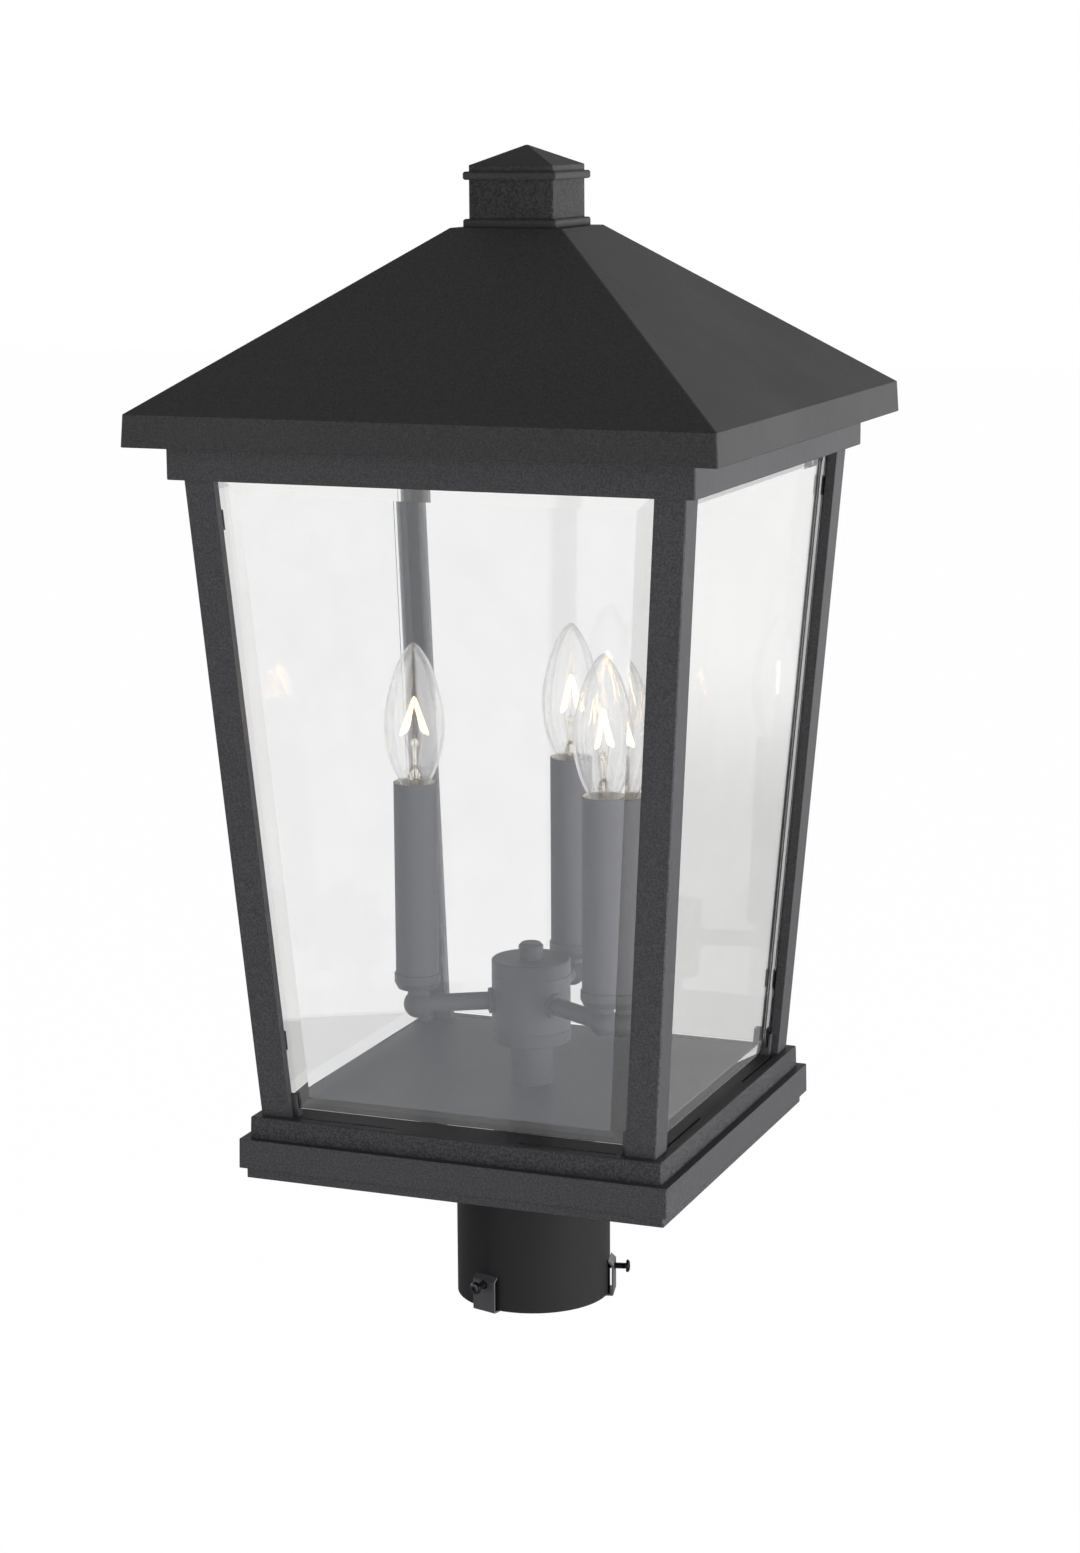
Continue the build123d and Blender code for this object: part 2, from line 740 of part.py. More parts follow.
def hub_cap(flat_z, lip_z):
    """Shallow round cap: a flat face with a pipe hole, and a lip that meets the hub body."""
    toward_lip = math.copysign(1, lip_z - flat_z)
    with BuildPart() as cap:
        with BuildSketch(level(flat_z)):
            Circle(hub_radius)
        extrude(amount=lip_z - flat_z)
        rims = cap.edges().filter_by(lambda edge: abs(edge.center().Z - flat_z) < 0.01)
        chamfer(rims, cap_ease)
        with BuildSketch(level(lip_z)):
            Circle(hub_radius + cut_overrun)
            Circle(hub_radius - seam_groove, mode=Mode.SUBTRACT)
        extrude(amount=-toward_lip * seam_groove_height, mode=Mode.SUBTRACT)
        with BuildSketch(level(lip_z)):
            Circle(hub_radius - hub_wall)
        extrude(amount=(flat_z + toward_lip * cap_wall) - lip_z, mode=Mode.SUBTRACT)
        with BuildSketch(level(flat_z)):
            Circle(pipe_hole_radius)
        extrude(amount=toward_lip * cap_wall, mode=Mode.SUBTRACT)
    return cap.part


finish(hub_cap(hub_top_z, hub_upper_seam_z), "hub_top_cap")
finish(hub_cap(hub_bottom_z, hub_lower_seam_z), "hub_bottom_cap")

with BuildPart() as hub_knob:
    with BuildSketch(level(hub_top_z)):
        Circle(knob_radius)
    extrude(amount=knob_height)
    chamfer(hub_knob.edges().sort_by(Axis.Z)[-1], knob_ease)
    with BuildSketch(level(hub_top_z)):
        Circle(pipe_hole_radius)
    extrude(amount=knob_thread_depth, mode=Mode.SUBTRACT)
finish(hub_knob.part, "hub_knob")


# ---------------------------------------------------------------- arms, collars and elbows
def arm(angle):
    """Straight tube from inside the hub to the ball elbow."""
    with BuildPart() as tube:
        with BuildSketch(outward(angle, arm_start, arm_z)):
            Circle(arm_radius)
            Circle(arm_bore_radius, mode=Mode.SUBTRACT)
        extrude(amount=arm_end - arm_start)
    return tube.part


for number, angle in enumerate(candle_angles, start=1):
    finish(arm(angle), f"arm_{number}")

with BuildPart() as arm_collars:
    for angle in candle_angles:
        with BuildSketch(outward(angle, hub_radius - hub_wall, arm_z)):
            Circle(collar_radius)
            Circle(arm_radius + running_clearance, mode=Mode.SUBTRACT)
        extrude(amount=collar_end - hub_radius + hub_wall)
    with BuildSketch(level(arm_z - collar_radius)):
        Circle(hub_radius)
    extrude(amount=2 * collar_radius, mode=Mode.SUBTRACT)
finish(arm_collars.part, "arm_collars")

with BuildPart() as arm_lock_nuts:
    for angle in candle_angles:
        with BuildSketch(outward(angle, lock_nut_start, arm_z)):
            RegularPolygon(lock_nut_width / 2, 6, major_radius=False)
            Circle(arm_radius, mode=Mode.SUBTRACT)
        extrude(amount=lock_nut_height)
finish(arm_lock_nuts.part, "arm_lock_nuts")

neck_start_z = arm_z + math.sqrt(ball_radius**2 - neck_radius**2)
with BuildPart() as elbows:
    for angle in candle_angles:
        with BuildSketch(candle_plane(angle)):
            with BuildLine():
                ThreePointArc(
                    (0, arm_z - ball_radius), (ball_radius, arm_z), (neck_radius, neck_start_z)
                )
                Polyline(
                    (neck_radius, neck_start_z),
                    (neck_radius, cup_bottom_z),
                    (pipe_radius, cup_bottom_z),
                    (pipe_radius, pipe_seat_z),
                    (arm_bore_radius, pipe_seat_z),
                    (arm_bore_radius, arm_z - arm_bore_radius),
                    (0, arm_z - arm_bore_radius),
                    (0, arm_z - ball_radius),
                )
            make_face()
        revolve(axis=candle_axis(angle))
        with BuildSketch(outward(angle, arm_end, arm_z)):
            Circle(arm_radius + running_clearance)
        extrude(amount=-ball_radius, mode=Mode.SUBTRACT)
        with BuildSketch(outward(angle, arm_end, arm_z)):
            Circle(arm_bore_radius)
        extrude(amount=candle_reach - arm_end, mode=Mode.SUBTRACT)
finish(elbows.part, "elbows")


# ---------------------------------------------------------------- candles
with BuildPart() as candle_cups:
    for angle in candle_angles:
        with BuildSketch(candle_plane(angle)):
            with BuildLine():
                Polyline(
                    (pipe_hole_radius, cup_floor_z),
                    (pipe_hole_radius, cup_bottom_z),
                    (neck_radius, cup_bottom_z),
                    (cup_dish_radius, cup_dish_z),
                    (cup_radius, cup_shoulder_z),
                    (cup_radius, cup_rim_z),
                    (cup_radius - cup_wall, cup_rim_z),
                    (cup_radius - cup_wall, cup_floor_z),
                    close=True,
                )
            make_face()
        revolve(axis=candle_axis(angle))
finish(candle_cups.part, "candle_cups")

with BuildPart() as candle_pipes:
    for angle in candle_angles:
        centre = outward(angle, candle_reach, 0).origin
        with BuildSketch(level(pipe_seat_z)):
            with Locations((centre.X, centre.Y)):
                Circle(pipe_radius)
                Circle(pipe_bore_radius, mode=Mode.SUBTRACT)
        extrude(amount=holder_bottom_z + holder_thread - pipe_seat_z)
finish(candle_pipes.part, "candle_pipes")


def candle_sleeve(angle):
    """Plain tube that hides the lampholder and stands in the cup."""
    centre = outward(angle, candle_reach, 0).origin
    with BuildPart() as sleeve:
        with BuildSketch(level(cup_floor_z)):
            with Locations((centre.X, centre.Y)):
                Circle(sleeve_radius)
                Circle(sleeve_bore_radius, mode=Mode.SUBTRACT)
        extrude(amount=sleeve_top_z - cup_floor_z)
    return sleeve.part


for number, angle in enumerate(candle_angles, start=1):
    finish(candle_sleeve(angle), f"candle_sleeve_{number}")

with BuildPart() as lampholders:
    for angle in candle_angles:
        centre = outward(angle, candle_reach, 0).origin
        spot = Locations((centre.X, centre.Y))
        with BuildSketch(level(holder_bottom_z)):
            with spot:
                Circle(holder_radius)
        extrude(amount=holder_top_z - holder_bottom_z)
        with BuildSketch(level(holder_bottom_z)):
            with spot:
                Circle(pipe_radius)
        extrude(amount=holder_thread, mode=Mode.SUBTRACT)
        with BuildSketch(level(socket_floor_z)):
            with spot:
                Circle(shell_radius)
        extrude(amount=holder_top_z - socket_floor_z, mode=Mode.SUBTRACT)
finish(lampholders.part, "lampholders")

with BuildPart() as socket_contacts:
    for angle in candle_angles:
        centre = outward(angle, candle_reach, 0).origin
        spot = Locations((centre.X, centre.Y))
        with BuildSketch(level(shell_bottom_z)):
            with spot:
                Circle(shell_radius)
                Circle(shell_bore_radius, mode=Mode.SUBTRACT)
        extrude(amount=shell_top_z - shell_bottom_z)
        with BuildSketch(level(socket_floor_z)):
            with spot:
                Rectangle(tab_length, tab_width)
        extrude(amount=bulb_contact_z - socket_floor_z)
finish(socket_contacts.part, "socket_contacts")


# ---------------------------------------------------------------- candle bulbs
def bulb_outline(inset):
    """Half outline of the bulb's envelope, drawn in from its outer face by an inset."""
    neck = (bulb_neck_radius - inset, bulb_neck_z)
    flank = (bulb_flank_radius - inset, bulb_flank_z)
    belly = (bulb_belly_radius - inset, bulb_belly_z)
    widest = (bulb_widest_radius - inset, bulb_widest_z)
    waist = (bulb_waist_radius - inset, bulb_waist_z)
    taper = (bulb_taper_radius - inset, bulb_taper_z)
    shoulder = (bulb_shoulder_radius - inset, bulb_shoulder_z)
    nose = (bulb_nose_radius - inset, bulb_nose_z - inset / 2)
    tip = (bulb_tip_radius, bulb_tip_z - inset)
    with BuildLine() as outline:
        Polyline((0, bulb_foot_z), (bulb_neck_radius - inset, bulb_foot_z), neck, flank)
        ThreePointArc(flank, belly, widest)
        ThreePointArc(widest, waist, taper)
        Polyline(taper, shoulder, nose, tip, (0, bulb_tip_z - inset), (0, bulb_foot_z))
    return outline.line


def bulb_glass(angle):
    """Thin torpedo-shaped envelope, open at the bottom of its neck."""
    outer_outline = bulb_outline(0)
    inner_outline = bulb_outline(bulb_glass_wall)
    with BuildPart() as glass:
        with BuildSketch(candle_plane(angle)):
            add(outer_outline)
            make_face()
        revolve(axis=candle_axis(angle))
        with BuildSketch(candle_plane(angle)):
            add(inner_outline)
            make_face()
        revolve(axis=candle_axis(angle), mode=Mode.SUBTRACT)
    return glass.part


def bulb_base(angle):
    """Screw shell with a tapered foot round the centre contact."""
    contact_hole = bulb_contact_radius + running_clearance
    with BuildPart() as base:
        with BuildSketch(candle_plane(angle)):
            with BuildLine():
                Polyline(
                    (contact_hole, bulb_base_foot_z),
                    (bulb_base_foot_radius, bulb_base_foot_z),
                    (bulb_base_radius, bulb_base_shoulder_z),
                    (bulb_base_radius, bulb_base_top_z),
                    (bulb_neck_radius, bulb_base_top_z),
                    (bulb_neck_radius, bulb_base_floor_z),
                    (contact_hole, bulb_base_floor_z),
                    close=True,
                )
            make_face()
        revolve(axis=candle_axis(angle))
    return base.part


def bulb_contact(angle):
    """Solder contact at the foot of the bulb."""
    with BuildPart() as contact:
        with BuildSketch(candle_plane(angle)):
            with BuildLine():
                Polyline(
                    (0, bulb_contact_z),
                    (bulb_contact_tip_radius, bulb_contact_z),
                    (bulb_contact_radius, bulb_contact_rim_z),
                    (bulb_contact_radius, bulb_contact_top_z),
                    (0, bulb_contact_top_z),
                    close=True,
                )
            make_face()
        revolve(axis=candle_axis(angle))
    return contact.part


def bulb_mount(angle):
    """Glass stem inside the bulb: flare, pinch, rod and bead."""
    flare = bulb_neck_radius - bulb_glass_wall
    with BuildPart() as mount:
        with BuildSketch(candle_plane(angle)):
            with BuildLine():
                Polyline(
                    (0, mount_foot_z),
                    (flare, mount_foot_z),
                    (flare, mount_flare_z),
                    (mount_pinch_radius, mount_pinch_start_z),
                    (mount_pinch_radius, mount_pinch_end_z),
                    (mount_rod_radius, mount_rod_z),
                    (mount_rod_radius, bead_z - bead_half_height),
                    (bead_radius, bead_z - bead_half_height),
                    (bead_radius, bead_z + bead_half_height),
                    (0, bead_z + bead_half_height),
                    close=True,
                )
            make_face()
        revolve(axis=candle_axis(angle))
    return mount.part


def bulb_filament(angle, facing):
    """Two lead wires and the lit coil between them, as one bent wire."""
    foot = outward(angle, candle_reach, 0).origin
    across = Vector(1, 0, 0).rotate(Axis.Z, facing)
    points = [
        foot + across * reach + Vector(0, 0, height)
        for reach, height in (
            (-lead_foot_reach, lead_foot_z),
            (-filament_half_span, filament_foot_z),
            (0, filament_apex_z),
            (filament_half_span, filament_foot_z),
            (lead_foot_reach, lead_foot_z),
        )
    ]
    with BuildPart() as wire:
        for start, end in zip(points, points[1:]):
            run = end - start
            with BuildSketch(Plane(origin=start, z_dir=run)):
                Circle(filament_radius)
            extrude(amount=run.length)
    return wire.part


for number, angle in enumerate(candle_angles, start=1):
    finish(bulb_glass(angle), f"bulb_glass_{number}")
    finish(bulb_base(angle), f"bulb_base_{number}")
    finish(bulb_contact(angle), f"bulb_contact_{number}")
    finish(bulb_mount(angle), f"bulb_mount_{number}")
    finish(bulb_filament(angle, filament_facings[number - 1]), f"bulb_filament_{number}")
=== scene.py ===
import math

import bmesh
import bpy
from mathutils import Matrix, Vector


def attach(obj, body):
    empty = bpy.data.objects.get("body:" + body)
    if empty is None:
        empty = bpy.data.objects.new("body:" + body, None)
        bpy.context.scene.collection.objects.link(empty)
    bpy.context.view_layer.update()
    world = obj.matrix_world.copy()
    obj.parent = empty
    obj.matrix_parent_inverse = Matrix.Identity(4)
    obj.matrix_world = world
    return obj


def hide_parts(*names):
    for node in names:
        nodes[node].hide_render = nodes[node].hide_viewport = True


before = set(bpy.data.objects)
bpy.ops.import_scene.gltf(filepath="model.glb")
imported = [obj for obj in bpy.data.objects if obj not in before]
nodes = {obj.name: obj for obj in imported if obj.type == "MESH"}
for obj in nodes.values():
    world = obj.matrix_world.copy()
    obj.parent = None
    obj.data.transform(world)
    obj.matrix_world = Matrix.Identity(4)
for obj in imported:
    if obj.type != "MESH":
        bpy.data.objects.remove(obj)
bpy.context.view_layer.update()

scene = bpy.context.scene

# ------------------------------------------------------------------ measures
millimetre = 0.001
candle_reach = 0.060
candle_angles = (90, 210, 330)
filament_turns = (60, 20, 75)
sleeve_bore_radius = 0.0106
clip_angles = (-106, 14, 134)
screw_tip_reach = 0.039
screw_level = 0.0138

# ------------------------------------------------------------------ camera
image_height = 1553
focal_pixels = 3346.8
camera_place = Vector((0.6306, -1.5855, 0.6229))
camera_turn = math.radians(21.53)
camera_dip = math.radians(11.39)
camera_roll = math.radians(0.334)
sensor_width = 36.0


def aim_camera():
    """Create the camera at the photograph's viewing angle."""
    data = bpy.data.cameras.new("photo_camera")
    data.sensor_width = sensor_width
    data.lens = focal_pixels / image_height * sensor_width
    data.clip_start = 0.05
    data.clip_end = 100.0
    camera = bpy.data.objects.new("photo_camera", data)
    scene.collection.objects.link(camera)
    level_right = Vector((math.cos(camera_turn), math.sin(camera_turn), 0))
    level_ahead = Vector((-math.sin(camera_turn), math.cos(camera_turn), 0))
    ahead = level_ahead * math.cos(camera_dip) - Vector((0, 0, math.sin(camera_dip)))
    up = level_ahead * math.sin(camera_dip) + Vector((0, 0, math.cos(camera_dip)))
    right = level_right * math.cos(camera_roll) - up * math.sin(camera_roll)
    up = level_right * math.sin(camera_roll) + up * math.cos(camera_roll)
    turn = Matrix((right, up, -ahead)).transposed().to_4x4()
    camera.matrix_world = Matrix.Translation(camera_place) @ turn
    scene.camera = camera


# ------------------------------------------------------------------ light and surroundings
def empty_tree(owner):
    """Node tree of a new world or material, cleared."""
    owner.use_nodes = True
    owner.node_tree.nodes.clear()
    return owner.node_tree


def emitter(tree, kind, colour, level):
    """Emission or background node of a colour and level."""
    node = tree.nodes.new(kind)
    node.inputs["Color"].default_value = (*colour, 1.0)
    node.inputs["Strength"].default_value = level
    return node


def mixed(tree, share, first, second):
    """Mix of two shaders by a value."""
    mix = tree.nodes.new("ShaderNodeMixShader")
    for source, target in ((share, mix.inputs["Fac"]), (first, mix.inputs[1]), (second, mix.inputs[2])):
        tree.links.new(source, target)
    return mix.outputs[0]


def seen_ray(tree):
    """Socket that is 1 for camera, glossy and transmission rays, and 0 for the rest."""
    path = tree.nodes.new("ShaderNodeLightPath")
    total = path.outputs["Is Camera Ray"]
    for name in ("Is Glossy Ray", "Is Transmission Ray"):
        larger = tree.nodes.new("ShaderNodeMath")
        larger.operation = "MAXIMUM"
        tree.links.new(total, larger.inputs[0])
        tree.links.new(path.outputs[name], larger.inputs[1])
        total = larger.outputs[0]
    return total


def map_range(tree, value, low, high, low_value, high_value):
    """Value taken from one range to another, clamped and eased at both ends."""
    node = tree.nodes.new("ShaderNodeMapRange")
    node.interpolation_type = "SMOOTHSTEP"
    limits = {"From Min": low, "From Max": high, "To Min": low_value, "To Max": high_value}
    for name, number in limits.items():
        node.inputs[name].default_value = number
    tree.links.new(value, node.inputs["Value"])
    return node.outputs[0]


def set_world():
    """White behind the object, a dimmer ceiling, and a plain soft light."""
    wall_top, ceiling_start = 0.05, 0.45
    wall_level, ceiling_level, soft_level = 1.0, 0.30, 0.6
    world = bpy.data.worlds.new("studio")
    scene.world = world
    tree = empty_tree(world)
    coordinates = tree.nodes.new("ShaderNodeTexCoord")
    split = tree.nodes.new("ShaderNodeSeparateXYZ")
    tree.links.new(coordinates.outputs["Generated"], split.inputs[0])
    seen = emitter(tree, "ShaderNodeBackground", (1.0, 1.0, 1.0), wall_level)
    level = map_range(tree, split.outputs["Z"], wall_top, ceiling_start, wall_level, ceiling_level)
    tree.links.new(level, seen.inputs["Strength"])
    light = emitter(tree, "ShaderNodeBackground", (1.0, 0.995, 1.0), soft_level)
    output = tree.nodes.new("ShaderNodeOutputWorld")
    surroundings = mixed(tree, seen_ray(tree), light.outputs[0], seen.outputs[0])
    tree.links.new(surroundings, output.inputs["Surface"])


def area_lamp(name, place, aim, width, height, watts):
    """Soft rectangular lamp that lights the object but isn't seen or mirrored itself."""
    data = bpy.data.lights.new(name, "AREA")
    data.shape = "RECTANGLE"
    data.size = width
    data.size_y = height
    data.energy = watts
    lamp = bpy.data.objects.new(name, data)
    scene.collection.objects.link(lamp)
    turn = (Vector(aim) - Vector(place)).to_track_quat("-Z", "Y").to_matrix().to_4x4()
    lamp.matrix_world = Matrix.Translation(place) @ turn
    lamp.visible_camera = False
    lamp.visible_glossy = False
    lamp.visible_transmission = False


def add_floor():
    """Pale floor, open from below, and so far down that the picture shows only its colour."""
    half, level = 12.0, -0.46
    white_share = 0.985
    mesh = bpy.data.meshes.new("floor")
    corners = [(-half, -half, level), (half, -half, level), (half, half, level), (-half, half, level)]
    mesh.from_pydata(corners, [], [(0, 1, 2, 3)])
    floor = bpy.data.objects.new("floor", mesh)
    scene.collection.objects.link(floor)
    material = bpy.data.materials.new("floor_white")
    tree = empty_tree(material)
    matt = tree.nodes.new("ShaderNodeBsdfDiffuse")
    matt.inputs["Color"].default_value = (0.9, 0.9, 0.9, 1)
    glow = emitter(tree, "ShaderNodeEmission", (1, 1, 1), 1.0)
    share = tree.nodes.new("ShaderNodeMath")
    share.operation = "MULTIPLY"
    share.inputs[1].default_value = white_share
    tree.links.new(seen_ray(tree), share.inputs[0])
    above = mixed(tree, share.outputs[0], matt.outputs[0], glow.outputs[0])
    below = tree.nodes.new("ShaderNodeBsdfTransparent").outputs[0]
    side = tree.nodes.new("ShaderNodeNewGeometry").outputs["Backfacing"]
    output = tree.nodes.new("ShaderNodeOutputMaterial")
    tree.links.new(mixed(tree, side, above, below), output.inputs["Surface"])
    material.cycles.emission_sampling = "NONE"
    mesh.materials.append(material)


def studio_card(name, centre, facing, width, height, level, tint=(1.0, 1.0, 1.0), fade=None):
    """Card of the studio that only shows in gloss and reflections: a reflector, or a dark flag.

    With a fade it goes from its level to plain white between two distances from its middle.
    """
    mesh = bpy.data.meshes.new(name)
    w, h = width / 2, height / 2
    mesh.from_pydata([(-w, -h, 0), (w, -h, 0), (w, h, 0), (-w, h, 0)], [], [(0, 1, 2, 3)])
    card = bpy.data.objects.new(name, mesh)
    scene.collection.objects.link(card)
    turn = Vector(facing).to_track_quat("Z", "Y").to_matrix().to_4x4()
    card.matrix_world = Matrix.Translation(centre) @ turn
    card.visible_camera = False
    card.visible_diffuse = False
    card.visible_shadow = False
    card.visible_transmission = False
    material = bpy.data.materials.new(name)
    tree = empty_tree(material)
    glow = emitter(tree, "ShaderNodeEmission", tint, level)
    if fade:
        reach = tree.nodes.new("ShaderNodeVectorMath")
        reach.operation = "LENGTH"
        tree.links.new(tree.nodes.new("ShaderNodeTexCoord").outputs["Object"], reach.inputs[0])
        tree.links.new(map_range(tree, reach.outputs["Value"], *fade, level, 1.0), glow.inputs["Strength"])
    output = tree.nodes.new("ShaderNodeOutputMaterial")
    tree.links.new(glow.outputs[0], output.inputs["Surface"])
    material.cycles.emission_sampling = "NONE"
    mesh.materials.append(material)


# ------------------------------------------------------------------ materials
class Nodes:
    """A few shorthands for building one material's node tree."""

    def __init__(self, name):
        self.material = bpy.data.materials.new(name)
        self.material.use_nodes = True
        self.tree = self.material.node_tree
        self.shader = self.tree.nodes["Principled BSDF"]
        self.output = self.tree.nodes["Material Output"]
        self.place = self.tree.nodes.new("ShaderNodeTexCoord").outputs["Object"]

    def link(self, source, target):
        self.tree.links.new(source, target)

    def noise(self, scale, detail=2.0, roughness=0.5, stretch=None):
        """Noise in object space; scale is in cells per metre."""
        texture = self.tree.nodes.new("ShaderNodeTexNoise")
        texture.inputs["Scale"].default_value = scale
        texture.inputs["Detail"].default_value = detail
        texture.inputs["Roughness"].default_value = roughness
        place = self.place
        if stretch:
            mapping = self.tree.nodes.new("ShaderNodeMapping")
            mapping.inputs["Scale"].default_value = stretch
            self.link(place, mapping.inputs["Vector"])
            place = mapping.outputs[0]
        self.link(place, texture.inputs["Vector"])
        return texture.outputs["Fac"]

    def ramp(self, value, low, high, low_value=0.0, high_value=1.0):
        """Value taken from one range to another, clamped."""
        node = self.tree.nodes.new("ShaderNodeMapRange")
        node.inputs["From Min"].default_value = low
        node.inputs["From Max"].default_value = high
        node.inputs["To Min"].default_value = low_value
        node.inputs["To Max"].default_value = high_value
        self.link(value, node.inputs["Value"])
        return node.outputs[0]

    def sum(self, first, second, operation="ADD"):
        """Sum of two values, or what another operation makes of them."""
        node = self.tree.nodes.new("ShaderNodeMath")
        node.operation = operation
        for value, socket in ((first, node.inputs[0]), (second, node.inputs[1])):
            if isinstance(value, (int, float)):
                socket.default_value = value
            else:
                self.link(value, socket)
        return node.outputs[0]

    def colour(self, value, first, second):
        """Mix of two colours by a value."""
        node = self.tree.nodes.new("ShaderNodeMix")
        node.data_type = "RGBA"
        node.inputs["A"].default_value = (*first, 1.0)
        node.inputs["B"].default_value = (*second, 1.0)
        self.link(value, node.inputs["Factor"])
        return node.outputs["Result"]

    def blend(self, value, first, colour):
        """Mix from a colour socket to a plain colour by a value."""
        node = self.tree.nodes.new("ShaderNodeMix")
        node.data_type = "RGBA"
        self.link(first, node.inputs["A"])
        node.inputs["B"].default_value = (*colour, 1.0)
        self.link(value, node.inputs["Factor"])
        return node.outputs["Result"]

    def bump(self, height, strength, distance, normal=None):
        """Normal from a height, on top of another normal where there is one."""
        node = self.tree.nodes.new("ShaderNodeBump")
        node.inputs["Strength"].default_value = strength
        node.inputs["Distance"].default_value = distance
        self.link(height, node.inputs["Height"])
        if normal is not None:
            self.link(normal, node.inputs["Normal"])
        return node.outputs[0]

    def rounded(self, radius):
        """Normal that softens sharp edges by a radius."""
        node = self.tree.nodes.new("ShaderNodeBevel")
        node.samples = 4
        node.inputs["Radius"].default_value = radius
        return node.outputs[0]

    def edges(self, low, high):
        """1 on outer edges, 0 on flat faces."""
        geometry = self.tree.nodes.new("ShaderNodeNewGeometry")
        return self.ramp(geometry.outputs["Pointiness"], low, high)


def powder_coat(name, base, roughness, grain, depth):
    """Sprayed sand-textured coat: fine pimples over a faint orange peel."""
    n = Nodes(name)
    pimples = n.noise(grain, 2.0, 0.55)
    peel = n.noise(grain * 0.22, 2.0, 0.5)
    cloud = n.noise(9.0, 3.0, 0.55)
    dust = n.ramp(n.noise(grain * 0.8, 1.0), 0.64, 0.76)
    tone = n.colour(n.ramp(pimples, 0.38, 0.62), [c * 0.3 for c in base], [c * 1.75 for c in base])
    tone = n.blend(n.sum(dust, 0.4, "MULTIPLY"), tone, [c * 2.6 + 0.02 for c in base])
    worn = n.sum(n.edges(0.515, 0.58), 0.35, "MULTIPLY")
    tone = n.blend(worn, tone, [c * 1.9 + 0.012 for c in base])
    n.link(tone, n.shader.inputs["Base Color"])
    patches = n.ramp(cloud, 0.3, 0.7, roughness - 0.04, roughness + 0.04)
    rough = n.sum(n.ramp(pimples, 0.3, 0.7, -0.05, 0.05), patches)
    n.link(rough, n.shader.inputs["Roughness"])
    height = n.sum(n.sum(pimples, 0.6, "MULTIPLY"), peel)
    n.link(n.bump(height, 0.55, depth, n.rounded(0.0005)), n.shader.inputs["Normal"])
    n.shader.inputs["Specular IOR Level"].default_value = 0.3
    return n.material


def smooth_paint(name, base, roughness, depth=0.00003, painted_lit_inside=None, gloss=0.5):
    """Even sprayed enamel with slight orange peel and a little handling wear on its edges.

    The inside of a bore, given as its axis, radius and colour, is painted pale and warm: painted light of the
    filament on the inner wall.
    """
    n = Nodes(name)
    peel = n.noise(420.0, 2.0, 0.5)
    cloud = n.noise(14.0, 3.0, 0.5)
    tone = n.colour(n.ramp(cloud, 0.3, 0.7), [c * 0.88 for c in base], [c * 1.12 for c in base])
    worn = n.sum(n.edges(0.52, 0.6), 0.3, "MULTIPLY")
    tone = n.blend(worn, tone, [c * 2.0 + 0.015 for c in base])
    if painted_lit_inside:
        axis, radius, painted_light_tone = painted_lit_inside
        painted_lit_inside_edge = 0.0001
        reach = n.tree.nodes.new("ShaderNodeVectorMath")
        reach.operation = "DISTANCE"
        flat = n.tree.nodes.new("ShaderNodeMapping")
        flat.inputs["Scale"].default_value = (1.0, 1.0, 0.0)
        n.link(n.place, flat.inputs["Vector"])
        n.link(flat.outputs[0], reach.inputs[0])
        reach.inputs[1].default_value = axis
        # painted light: the inside of the bore is painted pale and warm for the filament's light on it
        tone = n.blend(n.ramp(reach.outputs["Value"], radius + painted_lit_inside_edge, radius), tone, painted_light_tone)
    n.link(tone, n.shader.inputs["Base Color"])
    n.link(n.ramp(cloud, 0.3, 0.7, roughness - 0.04, roughness + 0.05), n.shader.inputs["Roughness"])
    n.link(n.bump(peel, 0.5, depth), n.shader.inputs["Normal"])
    n.shader.inputs["Specular IOR Level"].default_value = gloss
    return n.material


def bare_metal(name, base, roughness, brush=(1.0, 1.0, 1.0), dark=0.7):
    """Metal with fine scratches along one direction and dull patches."""
    n = Nodes(name)
    scratches = n.noise(900.0, 3.0, 0.6, brush)
    cloud = n.noise(60.0, 3.0, 0.6)
    tone = n.colour(n.ramp(cloud, 0.35, 0.7), base, [c * dark for c in base])
    n.link(tone, n.shader.inputs["Base Color"])
    n.link(n.ramp(scratches, 0.3, 0.7, roughness - 0.07, roughness + 0.09), n.shader.inputs["Roughness"])
    n.link(n.bump(scratches, 0.3, 0.00003), n.shader.inputs["Normal"])
    n.shader.inputs["Metallic"].default_value = 1.0
    return n.material


def moulded_plastic(name, base, roughness):
    """Dull moulded plastic with a fine spark-eroded grain."""
    n = Nodes(name)
    grain = n.noise(1500.0, 2.0, 0.6)
    cloud = n.noise(40.0, 2.0, 0.5)
    n.link(n.colour(cloud, [c * 0.85 for c in base], [c * 1.15 for c in base]), n.shader.inputs["Base Color"])
    n.link(n.ramp(grain, 0.3, 0.7, roughness - 0.05, roughness + 0.05), n.shader.inputs["Roughness"])
    n.link(n.bump(grain, 0.3, 0.00004), n.shader.inputs["Normal"])
    return n.material


